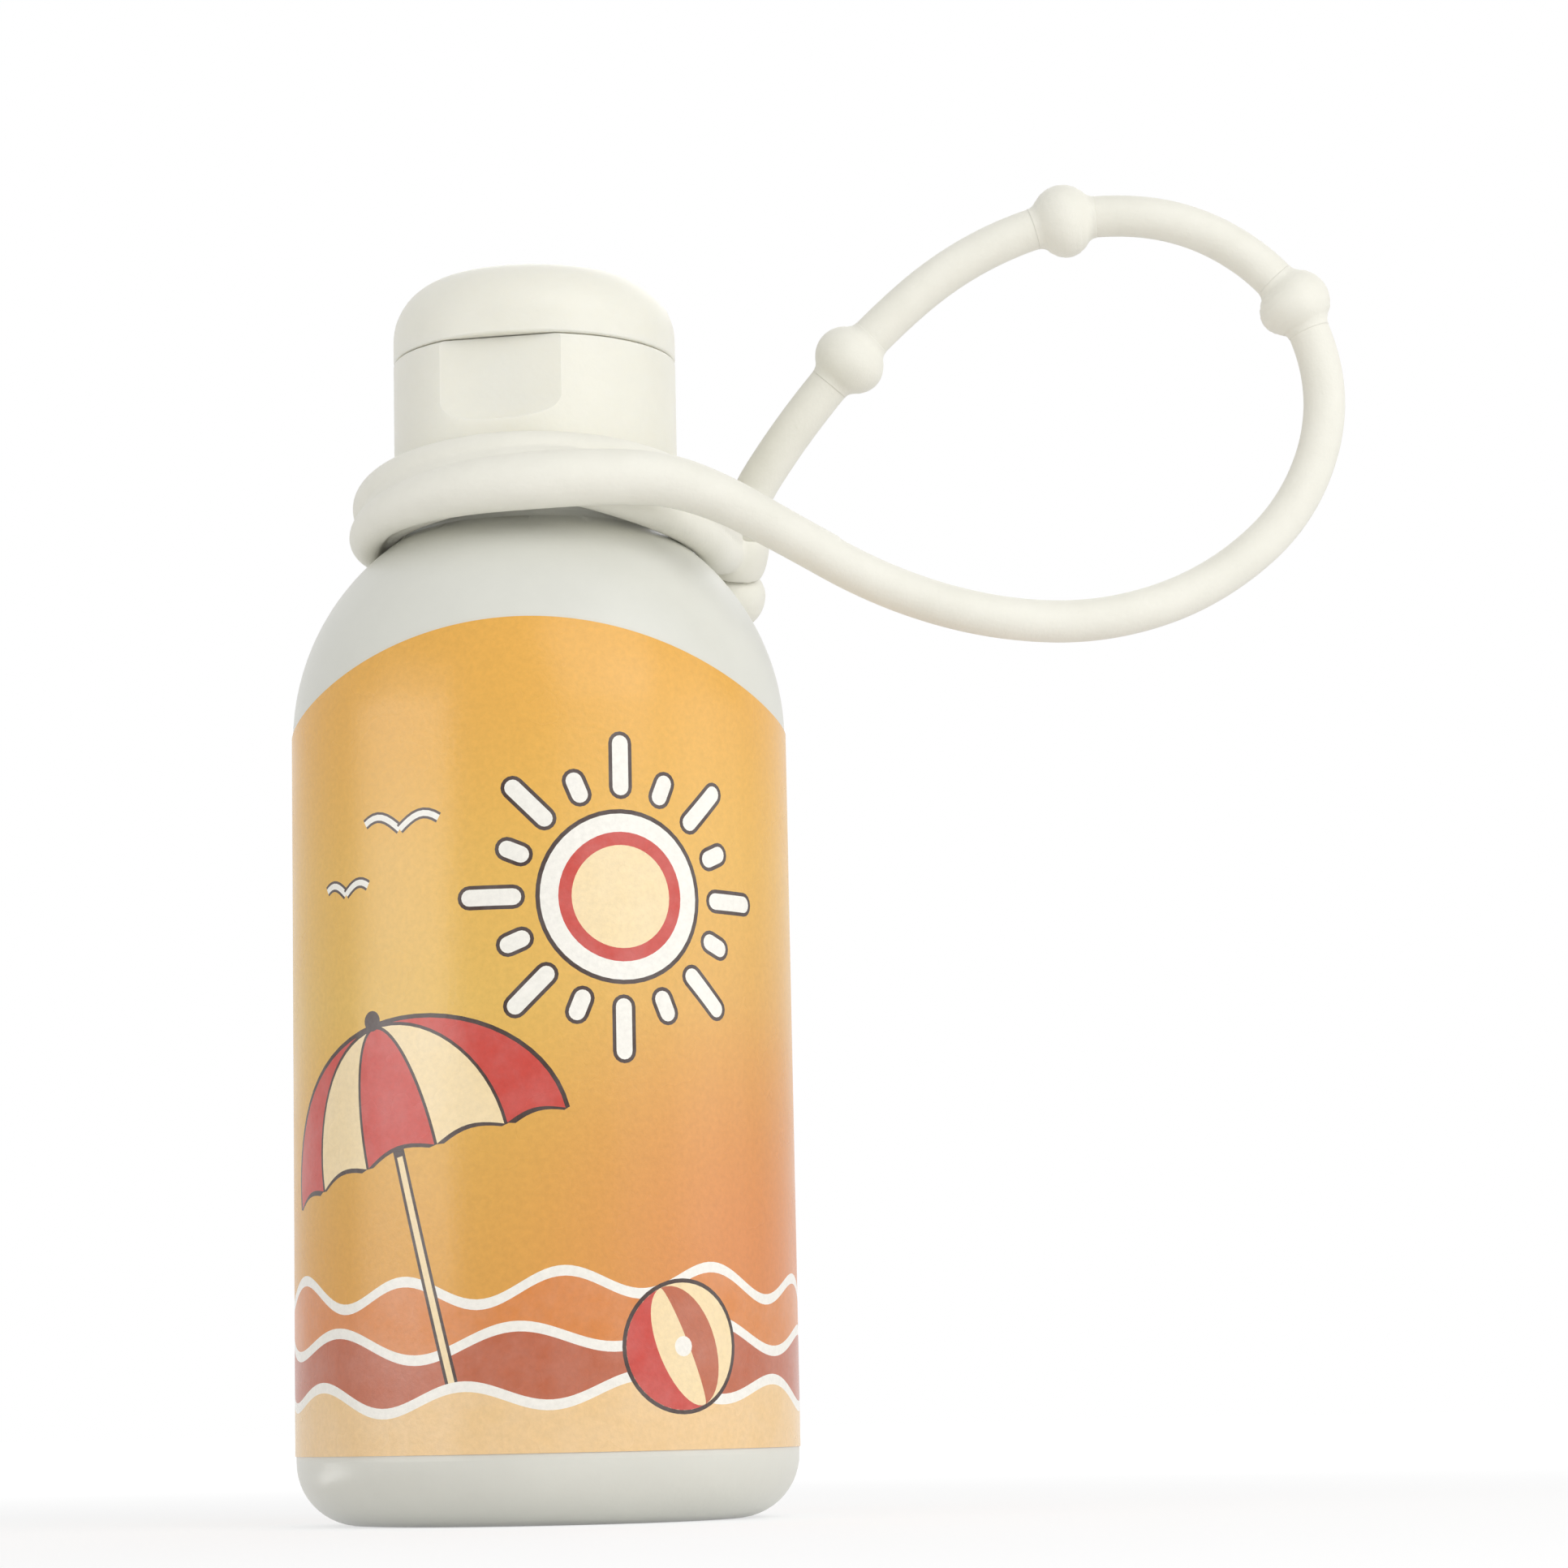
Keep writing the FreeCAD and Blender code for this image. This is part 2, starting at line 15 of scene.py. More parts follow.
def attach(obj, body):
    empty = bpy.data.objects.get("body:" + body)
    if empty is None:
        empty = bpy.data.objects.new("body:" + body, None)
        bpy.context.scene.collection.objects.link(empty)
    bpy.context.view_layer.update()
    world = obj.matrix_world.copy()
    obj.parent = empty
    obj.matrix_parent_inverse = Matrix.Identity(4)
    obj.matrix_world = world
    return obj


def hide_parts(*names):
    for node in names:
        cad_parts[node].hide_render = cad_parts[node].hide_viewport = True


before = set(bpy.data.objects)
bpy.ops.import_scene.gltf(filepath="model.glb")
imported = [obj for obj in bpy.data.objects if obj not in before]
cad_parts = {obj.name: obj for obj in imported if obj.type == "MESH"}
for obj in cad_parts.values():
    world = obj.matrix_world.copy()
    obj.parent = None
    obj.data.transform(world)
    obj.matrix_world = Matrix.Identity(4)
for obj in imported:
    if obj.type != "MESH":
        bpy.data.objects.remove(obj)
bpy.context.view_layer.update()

# Photograph: the camera's place in the bottle's frame, its turns in radians, its lens for a square picture
CAMERA_AT = (18.0, -307.88, 6.76)
CAMERA_PITCH = 0.1434       # upwards
CAMERA_ROLL = 0.021
CAMERA_YAW = 0.0023
CAMERA_NEAREST = 10.0
PICTURE_PIXELS = 1932
FOCAL_PIXELS = 5407.15
SENSOR = 36.0

# Bottle surface that the label lies on
BODY_RADIUS = 17.4
WALL_HEIGHT = 54.6
SHOULDER_RADIUS = 17.2
COLLAR_FOOT = 69.2

# Label
LABEL_THICKNESS = 0.08
LABEL_BOTTOM = 4.8
LABEL_SIDE_TOP = 54.7
LABEL_ARCH_RISE = 6.0
LABEL_SEAM = 1.0
PRINT_RADIUS = BODY_RADIUS + LABEL_THICKNESS
HALF_WIDTH = math.pi * PRINT_RADIUS - LABEL_SEAM / 2

# Grid that the flat label is cut along, so that it bends evenly round wall and shoulder
LABEL_COLUMNS = 180
WALL_ROWS = 12
WALL_ROW_STEP = 4.0
ARCH_ROWS = 6
ARCH_FIRST_ROW = 55.2
ARCH_ROW_STEP = 0.9
CUT_TOLERANCE = 1e-5
TOP_TOLERANCE = 1e-6

# Print: strokes in millimetres, other sizes as shares of a figure's own
FIGURE_OUTLINE = 0.3
SUN_LONG_RAY = 1.95
SUN_SHORT_RAY = 1.6
SUN_RAY_FOOT = 1.32
SUN_RAY_HALF_WIDTH = 0.1
SUN_RAY_OUTLINE = 0.26
SUN_RING = 0.78
SUN_CORE = 0.62
PARASOL_GORES = [-1.0, -0.66, -0.24, 0.24, 0.66, 1.0]
PARASOL_SCALLOP = 0.13
PARASOL_SEAM = 0.22
POLE_WIDTH = 0.9
POLE_CORE = 0.45
POLE_TIP = 0.2
KNOB_RADIUS = 0.7
KNOB_RISE = 0.5
BEACH_BALL_GORES = [(-1.0, -0.45, "coral"), (0.1, 0.62, "terracotta")]
BEACH_BALL_OUTLINE = 0.28
BEACH_BALL_HUB = 0.16
WING_BEND = 0.8
WING_ARCH = 0.32
WING_OUTLINE = 0.75
WING_CORE = 0.4
CREST_STEPS = 240
CREST_DRIFT = 0.4
FOAM_WIDTH = 0.7

# Strap
STRAND_DIAMETER = 3.0
RING_TUBE_DIAMETER = 2.7
RING_RADIUS = 11.75
RING_HEIGHT = 71.25
RING_TILT = math.radians(9.5)
STOP_BALLS = 3
BALL_DIAMETER = 5.3
BALL_FLATTENING = 0.86      # length along the strand over width across it
BALL_NECK = 1.1
BALL_SLEEVE = 0.02          # by which a ball's ends lie over the strand
BALL_FIRST = 20.1
BALL_PITCH = 18.9
BALL_STEPS = 12
NECK_STEPS = 8
EYELET_FROM_BALL = 3.4
EYELET_LENGTH = 3.4
EYELET_DIAMETER = 5.0
EYELET_BORE = 3.3
HEAD_VOXEL = 0.16
HEAD_SMOOTHING = 8

# Routes in the strap's moulded head: x, y, z and radius of each corner
STRAND_EXIT = (5.697, -13.238, 70.829)
WRAPPED_STRAND = [
    (-4.0, 11.0, 69.45, 0.7),
    (-7.2, 9.5, 69.6, 1.25),
    (-10.6, 6.2, 69.2, 1.25),
    (-12.05, 1.1, 68.8, 1.2),
    (-11.85, -4.6, 69.05, 1.28),
    (-9.5, -9.5, 69.75, 1.5),
    (-4.8, -12.9, 70.3, 1.85),
    (1.2, -14.0, 70.6, 2.0),
    (5.7, -13.35, 70.85, 1.95),
    (9.6, -12.75, 70.75, 1.85),
    (13.4, -11.8, 69.55, 1.66),
    (17.2, -10.6, 67.6, 1.53),
    (21.0, -9.3, 65.75, 1.42),
]
ROOT_WEB = [
    (-5.4, 10.4, 69.55, 0.4),
    (-7.6, 9.0, 69.9, 1.0),
    (-10.4, 5.9, 70.0, 1.1),
    (-11.8, 1.0, 70.0, 0.95),
    (-11.4, -4.2, 70.6, 0.95),
    (-9.0, -8.6, 71.4, 1.0),
    (-4.6, -11.9, 72.0, 1.0),
    (1.0, -12.9, 72.3, 1.0),
    (5.0, -12.4, 72.0, 0.8),
    (8.6, -11.8, 71.4, 0.2),
]
ROOT_FOOT = [
    (-11.6, 4.0, 69.2, 0.3),
    (-11.2, 1.6, 69.3, 0.85),
    (-10.3, -2.8, 69.5, 0.95),
    (-8.6, -6.6, 69.7, 1.0),
    (-5.8, -9.6, 69.9, 1.0),
    (-2.4, -11.6, 70.2, 0.85),
    (0.4, -12.8, 70.5, 0.3),
]
LUG = [
    (-0.6, -12.9, 70.9, 0.3),
    (2.4, -11.7, 70.6, 1.1),
    (5.7, -10.1, 70.1, 1.2),
    (9.5, -6.9, 69.33, 1.22),
    (12.0, -1.8, 68.87, 1.22),
    (12.9, 3.2, 68.5, 1.4),
    (13.1, 6.6, 69.3, 1.6),
]
LUG_WEB = [
    (7.6, -9.0, 72.5, 0.4),
    (9.8, -7.6, 71.3, 1.2),
    (11.6, -3.0, 70.8, 1.25),
    (12.9, 2.0, 70.5, 1.3),
    (13.3, 6.4, 70.3, 1.4),
]
# The free strand after its exit, as x, y and height above the foot of the collar
LOOP_ROUTE = [
    (10.8, -12.7, 1.4),
    (17.1, -10.7, -1.6),
    (24.5, -8.0, -5.5),
    (32.5, -4.8, -7.4),
    (40.5, -1.9, -7.2),
    (48.3, 0.6, -4.3),
    (54.9, 2.2, 1.5),
    (57.6, 2.7, 9.7),
    (55.1, 2.6, 17.9),
    (47.9, 2.4, 23.2),
    (39.1, 2.5, 23.9),
    (30.8, 2.9, 20.8),
    (23.9, 3.7, 15.1),
    (18.2, 5.2, 8.6),
    (14.0, 7.6, 2.5),
    (13.55, 10.6, -2.3),
]

# Studio, in metres and watts
WHITE = (1, 1, 1, 1)
WORLD_STRENGTH = 0.55
FLOOR_HALF_SIZE = 3.0
FLOOR_COLOUR = (0.9, 0.9, 0.9, 1)
FLOOR_ROUGHNESS = 0.9
FLOOR_FADE = (0.06, 0.3)    # distances between which the floor runs out to white
FLOOR_WHITE = (0.62, 1.0)   # shares of white at those distances
FLOOR_STRENGTH = 1.06
MIDDLE = (0.01, 0.0, 0.05)
# Soft panels: name, place, target, width and height, power
PANELS = [
    ("key", (0.3, -0.44, 0.36), MIDDLE, (0.5, 0.5), 1.35),
    ("right_panel", (0.42, -0.22, 0.1), MIDDLE, (0.5, 0.45), 0.5),
    ("left_panel", (-0.4, -0.26, 0.08), MIDDLE, (0.34, 0.45), 0.42),
    ("back", (0.1, 0.45, 0.4), MIDDLE, (0.4, 0.25), 0.4),
]
# Cards, which show in reflections only
CARDS = [
    ("right_card", (0.468, -0.041, 0.085), MIDDLE, (0.38, 0.17), 0.16),
    ("left_card", (-0.42, -0.22, 0.085), MIDDLE, (0.44, 0.17), 0.5),
    ("floor_card", (-0.047, 0.0025, 0.001), (-0.014, -0.0105, 2.0), (0.009, 0.052), 0.003),
]


def mm(values):
    """Millimetres to metres, for one number or a point."""
    if isinstance(values, (int, float)):
        return values / 1000
    return Vector(values) / 1000


def linear(red, green, blue):
    """A colour written in screen values from 0 to 255, as the shader takes it."""
    channels = []
    for value in (red, green, blue):
        share = value / 255
        channels.append(share / 12.92 if share <= 0.04045 else ((share + 0.055) / 1.055) ** 2.4)
    return (*channels, 1.0)


def full_turn(steps):
    """Angles once round, in equal steps."""
    return [2 * math.pi * step / steps for step in range(steps)]


# Materials


def combined(tree, operation, first, second):
    """Two values of a node tree joined by arithmetic."""
    node = tree.nodes.new("ShaderNodeMath")
    node.operation = operation
    tree.links.new(first, node.inputs[0])
    tree.links.new(second, node.inputs[1])
    return node.outputs["Value"]


class Nodes:
    """A new material with its Principled shader, and short ways to add and link nodes."""

    def __init__(self, name):
        self.material = bpy.data.materials.new(name)
        self.material.use_nodes = True
        self.tree = self.material.node_tree
        self.shader = self.tree.nodes["Principled BSDF"]

    def add(self, kind, **properties):
        """A node of a kind, with its properties set."""
        node = self.tree.nodes.new(kind)
        for key, value in properties.items():
            setattr(node, key, value)
        return node

    def link(self, source, target):
        self.tree.links.new(source, target)

    def set(self, **values):
        """Constant values on the shader's own sockets, by name with _ for spaces."""
        for key, value in values.items():
            self.shader.inputs[key.replace("_", " ")].default_value = value

    def feed(self, **sources):
        """Other nodes' outputs into the shader's own sockets, by name with _ for spaces."""
        for key, source in sources.items():
            self.link(source, self.shader.inputs[key.replace("_", " ")])

    def position(self):
        """The point's place in the bottle's frame, in metres."""
        return self.add("ShaderNodeTexCoord").outputs["Object"]

    def noise(self, vector, per_metre, detail=3.0, roughness=0.5):
        node = self.add("ShaderNodeTexNoise")
        node.inputs["Scale"].default_value = per_metre
        node.inputs["Detail"].default_value = detail
        node.inputs["Roughness"].default_value = roughness
        self.link(vector, node.inputs["Vector"])
        return node.outputs["Fac"]

    def ramp(self, value, stops):
        """Colours along a value from 0 to 1."""
        node = self.add("ShaderNodeValToRGB")
        elements = node.color_ramp.elements
        while len(elements) < len(stops):
            elements.new(0.5)
        for element, (place, colour) in zip(elements, stops):
            element.position = place
            element.color = colour
        self.link(value, node.inputs["Fac"])
        return node.outputs["Color"]

    def between(self, value, low, high, to_low=0.0, to_high=1.0):
        """A value mapped smoothly from one range to another."""
        node = self.add("ShaderNodeMapRange", interpolation_type="SMOOTHSTEP")
        for name, number in (("From Min", low), ("From Max", high), ("To Min", to_low), ("To Max", to_high)):
            node.inputs[name].default_value = number
        self.link(value, node.inputs["Value"])
        return node.outputs["Result"]

    def mix(self, share, first, second, blend="MIX"):
        """Two colours mixed by a share; each is a value or another node's output."""
        node = self.add("ShaderNodeMix", data_type="RGBA", blend_type=blend)
        for socket, value in ((node.inputs[0], share), (node.inputs[6], first), (node.inputs[7], second)):
            if isinstance(value, bpy.types.NodeSocket):
                self.link(value, socket)
            else:
                socket.default_value = value
        return node.outputs[2]

    def bump(self, height, depth, strength=1.0, under=None):
        """Raises the surface by a height field, by a depth in metres at full height."""
        node = self.add("ShaderNodeBump")
        node.inputs["Distance"].default_value = depth
        node.inputs["Strength"].default_value = strength
        self.link(height, node.inputs["Height"])
        if under is not None:
            self.link(under, node.inputs["Normal"])
        return node.outputs["Normal"]


def moulded_plastic(name, light, dark, roughness, grain_depth, light_depth=0.0):
    """Satin moulded plastic: faint cloudiness, a fine mould texture, small scuffs and a little depth."""
    n = Nodes(name)
    place = n.position()
    cloud = n.noise(place, per_metre=90, detail=4.0, roughness=0.6)
    speck = n.noise(place, per_metre=2400, detail=2.0)
    tone = n.ramp(cloud, [(0.3, dark), (0.7, light)])
    speckle = n.ramp(speck, [(0.35, dark), (0.65, light)])
    n.feed(Base_Color=n.mix(0.05, tone, speckle))
    drawn_out = n.add("ShaderNodeMapping")
    drawn_out.inputs["Scale"].default_value = (1.0, 1.0, 0.06)
    n.link(place, drawn_out.inputs["Vector"])
    scratches = n.noise(drawn_out.outputs["Vector"], per_metre=2600, detail=2.0, roughness=0.5)
    worn = n.add("ShaderNodeMath", operation="MULTIPLY_ADD")
    n.link(n.between(scratches, 0.62, 0.8), worn.inputs[0])
    worn.inputs[1].default_value = 0.025
    n.link(n.between(cloud, 0.25, 0.75, roughness - 0.04, roughness + 0.05), worn.inputs[2])
    n.feed(Roughness=worn.outputs["Value"])
    waves = n.bump(n.noise(place, per_metre=60, detail=0.0), depth=mm(0.05), strength=0.4)
    n.feed(Normal=n.bump(speck, depth=grain_depth, under=waves))
    n.set(IOR=1.5, Subsurface_Weight=0.5 if light_depth else 0.0)
    n.set(Subsurface_Scale=light_depth, Subsurface_Radius=(1.0, 0.95, 0.85))
    return n.material


def silicone():
    """Soft matte silicone with a dusty bloom and a fine blasted texture from its mould."""
    n = Nodes("silicone")
    place = n.position()
    cloud = n.noise(place, per_metre=160, detail=4.0, roughness=0.6)
    grain = n.noise(place, per_metre=3200, detail=3.0, roughness=0.6)
    n.feed(
        Base_Color=n.ramp(cloud, [(0.3, linear(232, 230, 218)), (0.7, linear(240, 238, 227))]),
        Roughness=n.between(cloud, 0.2, 0.8, 0.5, 0.62),
        Normal=n.bump(grain, depth=mm(0.04), strength=0.7),
    )
    n.set(IOR=1.41, Sheen_Weight=0.12, Sheen_Roughness=0.5)
    return n.material


def print_finish(n, colour):
    """The satin film of the label over a printed colour: print grain, fibre bump and soft gloss."""
    place = n.position()
    fleck = n.noise(place, per_metre=2600, detail=3.0, roughness=0.65)
    cloud = n.noise(place, per_metre=140, detail=3.0, roughness=0.55)
    shade = n.ramp(fleck, [(0.3, linear(222, 222, 222)), (0.7, linear(255, 255, 255))])
    n.feed(
        Base_Color=n.mix(0.35, colour, shade, "MULTIPLY"),
        Roughness=n.between(cloud, 0.2, 0.8, 0.22, 0.3),
        Normal=n.bump(fleck, depth=mm(0.03), strength=0.5),
    )
    n.set(IOR=1.48)


def ink(name, *colour):
    """One printed colour, a little uneven as ink is."""
    n = Nodes(name)
    flat = linear(*colour)
    paler = [channel + (1 - channel) * 0.06 for channel in flat[:3]] + [1.0]
    cloud = n.noise(n.position(), per_metre=420, detail=4.0, roughness=0.6)
    print_finish(n, n.ramp(cloud, [(0.35, flat), (0.7, paler)]))
    return n.material


def label_ground():
    """The label's warm ground: golden on the left, amber at the top and terracotta at the lower right."""
    n = Nodes("label_ground")
    axes = n.add("ShaderNodeSeparateXYZ")
    n.link(n.position(), axes.inputs["Vector"])
    height = n.between(axes.outputs["Z"], mm(LABEL_BOTTOM), mm(LABEL_SIDE_TOP + LABEL_ARCH_RISE))
    column = n.ramp(height, [
        (0.0, linear(226, 164, 74)),
        (0.3, linear(228, 175, 82)),
        (0.55, linear(233, 190, 96)),
        (0.8, linear(235, 186, 90)),
        (1.0, linear(236, 177, 78)),
    ])
    right = n.between(axes.outputs["X"], mm(-6.0), mm(17.0))
    low = n.between(axes.outputs["Z"], mm(50.0), mm(12.0))
    corner = combined(n.tree, "MULTIPLY", right, low)
    print_finish(n, n.mix(corner, column, linear(222, 138, 78)))
    return n.material


# Mesh helpers


def new_object(name, data, material):
    piece = bpy.data.objects.new(name, data)
    bpy.context.scene.collection.objects.link(piece)
    if material is not None:
        data.materials.append(material)
    return piece


def strap_piece(piece, *nodes):
    """A piece of the strap: it turns with it and stands for these solids."""
    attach(piece, "strap")
    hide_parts(*nodes)
    return piece


def nurbs_curve(name, points, radius, material, radii=None):
    """A round tube along one smooth spline through the middle of a route's runs."""
    data = bpy.data.curves.new(name, "CURVE")
    data.dimensions = "3D"
    spline = data.splines.new("NURBS")
    spline.points.add(len(points) - 1)
    for point, place in zip(spline.points, points):
        point.co = (*mm(place), 1.0)
    spline.order_u = 3
    spline.use_endpoint_u = True
    spline.resolution_u = 16
    for point, share in zip(spline.points, radii or []):
        point.radius = share
    data.bevel_depth = mm(radius)
    data.bevel_resolution = 10
    data.use_fill_caps = True
    return new_object(name, data, material)


def evaluated_mesh(piece):
    """An object's mesh as its curve and modifiers make it."""
    return bpy.data.meshes.new_from_object(piece.evaluated_get(bpy.context.evaluated_depsgraph_get()))


def centre_line(curve):
    """Points along a curve object's own spline."""
    bare = curve.copy()
    bare.data = curve.data.copy()
    bare.data.bevel_depth = 0.0
    bpy.context.scene.collection.objects.link(bare)
    points = [vertex.co.copy() for vertex in evaluated_mesh(bare).vertices]
    bpy.data.objects.remove(bare)
    return points


def point_back_along(points, distance):
    """The point at a distance before the line's end, or past it, and the line's direction there."""
    if distance < 0:
        end = (points[-1] - points[-2]).normalized()
        return points[-1] - end * distance, end
    left = distance
    for after, before in zip(reversed(points), reversed(points[:-1])):
        run = after - before
        if left <= run.length:
            return after - run.normalized() * left, run.normalized()
        left -= run.length
    raise ValueError("the line is shorter than the distance")


def placed(centre, direction):
    """A frame with its Z along a direction."""
    return Matrix.Translation(centre) @ direction.to_track_quat("Z", "Y").to_matrix().to_4x4()


def upright(where):
    """The frames along a straight axis, by height."""
    return lambda height: where @ Matrix.Translation((0, 0, height))


def lathe(bm, profile, frame_at, segments=48, closed=False):
    """Adds a turned surface: profile points are radius and height, whose frame the axis gives, in metres."""
    turns = full_turn(segments)
    rings = []
    for radius, height in profile:
        where = frame_at(height)
        ring = [where @ Vector((radius * math.cos(t), radius * math.sin(t), 0)) for t in turns]
        rings.append([bm.verts.new(point) for point in ring])
    pairs = list(zip(rings, rings[1:]))
    if closed:
        pairs.append((rings[-1], rings[0]))
    for lower, upper in pairs:
        for step in range(segments):
            after = (step + 1) % segments
            bm.faces.new((lower[step], lower[after], upper[after], upper[step]))
    if not closed:
        bm.faces.new(list(reversed(rings[0])))
        bm.faces.new(rings[-1])


def oval_section(middle, across, along, steps):
    """A closed section for the lathe: an oval about a radius."""
    return [(middle + across * math.cos(t), along * math.sin(t)) for t in full_turn(steps)]


def mesh_from(bm, name):
    mesh = bpy.data.meshes.new(name)
    bm.to_mesh(mesh)
    bm.free()
    return mesh


def smooth_mesh(bm, name):
    bmesh.ops.recalc_face_normals(bm, faces=bm.faces)
    mesh = mesh_from(bm, name)
    mesh.shade_smooth()
    return mesh


# Strap


def ball_profile(strand_radius):
    """Half section of a moulded ball, flat along the strand, that runs into it through concave necks."""
    ball, neck = mm(BALL_DIAMETER / 2), mm(BALL_NECK)
    reach = math.sqrt((ball + neck) ** 2 - (strand_radius + neck) ** 2)
    meet = math.atan2(strand_radius + neck, reach)
    upper = []
    for step in range(BALL_STEPS + 1):
        turn = math.pi / 2 + (meet - math.pi / 2) * step / BALL_STEPS
        upper.append((ball * math.sin(turn), ball * math.cos(turn)))
    for step in range(1, NECK_STEPS + 1):
        turn = meet + (math.pi / 2 - meet) * step / NECK_STEPS
        radius = strand_radius + neck - neck * math.sin(turn)
        upper.append((radius, reach - neck * math.cos(turn)))
    upper = [(radius, along * BALL_FLATTENING) for radius, along in upper]
    return [(radius, -along) for radius, along in reversed(upper[1:])] + upper


def dome_profile():
    """Half section of the round end of a ball, from its widest place to near its tip."""
    radius = mm(BALL_DIAMETER / 2)
    turns = [math.pi / 2 * step / BALL_STEPS for step in range(1, BALL_STEPS)]
    return [(radius * math.cos(t), radius * math.sin(t)) for t in turns]


def make_strand(material):
    """The free strand, from where it leaves the neck round the loop and back through the eyelet."""
    points = [STRAND_EXIT] + [(x, y, COLLAR_FOOT + up) for x, y, up in LOOP_ROUTE]
    return nurbs_curve("strand", points, STRAND_DIAMETER / 2, material)


def make_ball(name, line, distance, material):
    """A moulded ball on the strand; the last one closes the strand's end with a full dome."""
    profile = ball_profile(mm(STRAND_DIAMETER / 2 + BALL_SLEEVE))
    if distance == 0:
        profile = profile[: len(profile) // 2 + 1] + dome_profile()
    bm = bmesh.new()
    lathe(bm, profile, lambda along: placed(*point_back_along(line, distance - along)))
    return strap_piece(new_object(name + "_moulding", smooth_mesh(bm, name), material), name)


def add_tube(bm, route):
    """Adds a closed tube along a route whose corners have a radius each."""
    curve = nurbs_curve("tube", [corner[:3] for corner in route], 1.0, None, [corner[3] for corner in route])
    mesh = evaluated_mesh(curve)
    bm.from_mesh(mesh)
    bpy.data.objects.remove(curve)
    bpy.data.meshes.remove(mesh)


def make_head(line, material):
    """The strap's moulded head: ring round the neck, wrapped root of the strand, lug and eyelet."""
    bm = bmesh.new()
    tube = mm(RING_TUBE_DIAMETER / 2)
    tilt = Matrix.Translation(mm((0, 0, RING_HEIGHT))) @ Matrix.Rotation(-RING_TILT, 4, "X")
    lathe(bm, oval_section(mm(RING_RADIUS), tube, tube, 32), upright(tilt), segments=160, closed=True)
    middle, direction = point_back_along(line, mm(EYELET_FROM_BALL))
    wall = mm(EYELET_DIAMETER - EYELET_BORE) / 4
    rim = oval_section(mm(EYELET_BORE / 2) + wall, wall, mm(EYELET_LENGTH / 2), 24)
    lathe(bm, rim, upright(placed(middle, direction)), closed=True)
    for route in (WRAPPED_STRAND, ROOT_WEB, ROOT_FOOT, LUG, LUG_WEB):
        add_tube(bm, route)
    head = new_object("strap_head", smooth_mesh(bm, "strap_head"), material)
    remesh = head.modifiers.new("skin", "REMESH")
    remesh.mode = "VOXEL"
    remesh.voxel_size = mm(HEAD_VOXEL)
    soften = head.modifiers.new("soften", "SMOOTH")
    soften.iterations = HEAD_SMOOTHING
    mesh = evaluated_mesh(head)
    head.modifiers.clear()
    head.data = mesh
    mesh.shade_smooth()
    strap_piece(head, "neck_ring")


def make_strap():
    material = silicone()
    strand = strap_piece(make_strand(material), "loop_strand")
    line = centre_line(strand)
    make_head(line, material)
    balls = [make_ball("end_ball", line, 0, material)]
    for place in range(STOP_BALLS):
        balls.append(make_ball(f"stop_ball_{place + 1}", line, mm(BALL_FIRST + place * BALL_PITCH), material))


# Label: the print is drawn flat, in millimetres round from the front and up


def print_radius(z):
    """Radius of the label's face at a height: the wall, then the start of the shoulder."""
    if z <= WALL_HEIGHT:
        return PRINT_RADIUS
    centre = BODY_RADIUS - SHOULDER_RADIUS
    return centre + math.sqrt((SHOULDER_RADIUS + LABEL_THICKNESS) ** 2 - (z - WALL_HEIGHT) ** 2)


def label_top(across):
    """Height of the label's top edge at a distance round the bottle from the front."""
    turn = across / PRINT_RADIUS
    if math.cos(turn) <= 0:
        return LABEL_SIDE_TOP
    arch = (PRINT_RADIUS**2 + LABEL_ARCH_RISE**2) / (2 * LABEL_ARCH_RISE)
    z = LABEL_SIDE_TOP
    for _ in range(8):      # radius and height depend on each other and settle within these rounds
        x = print_radius(z) * math.sin(turn)
        z = LABEL_SIDE_TOP + LABEL_ARCH_RISE - arch + math.sqrt(arch**2 - x**2)
    return z


def on_label(across, z, inset=0.0):
    """A flat print's point on the bottle, on the film's face or inset from it."""
    turn = across / PRINT_RADIUS
    radius = print_radius(z)
    rise = max(z - WALL_HEIGHT, 0.0) / (SHOULDER_RADIUS + LABEL_THICKNESS)
    level = math.sqrt(1 - rise**2)
    out = Vector((math.sin(turn) * level, -math.cos(turn) * level, rise))
    return mm((radius * math.sin(turn), -radius * math.cos(turn), z)) - out * mm(inset)


def across_label(count):
    """Places in equal steps round the bottle, from one side of the seam to the other."""
    return [-HALF_WIDTH + 2 * HALF_WIDTH * step / count for step in range(count + 1)]


def circle(centre, radius, count=48):
    return [(centre[0] + radius * math.cos(t), centre[1] + radius * math.sin(t)) for t in full_turn(count)]


def area(points):
    """The area of an outline, positive where it runs anticlockwise."""
    return sum(a[0] * b[1] - b[0] * a[1] for a, b in zip(points, points[1:] + points[:1])) / 2


def turned_about(points, centre, degrees):
    c, s = math.cos(math.radians(degrees)), math.sin(math.radians(degrees))
    return [(centre[0] + c * (x - centre[0]) - s * (y - centre[1]),
             centre[1] + s * (x - centre[0]) + c * (y - centre[1])) for x, y in points]


def stroke(points, width):
    """A band of even width along an open line."""
    left, right = [], []
    for index, (x, y) in enumerate(points):
        before = points[max(index - 1, 0)]
        after = points[min(index + 1, len(points) - 1)]
        run = math.hypot(after[0] - before[0], after[1] - before[1])
        across = (-(after[1] - before[1]) / run * width / 2, (after[0] - before[0]) / run * width / 2)
        left.append((x + across[0], y + across[1]))
        right.append((x - across[0], y - across[1]))
    return left + right[::-1]


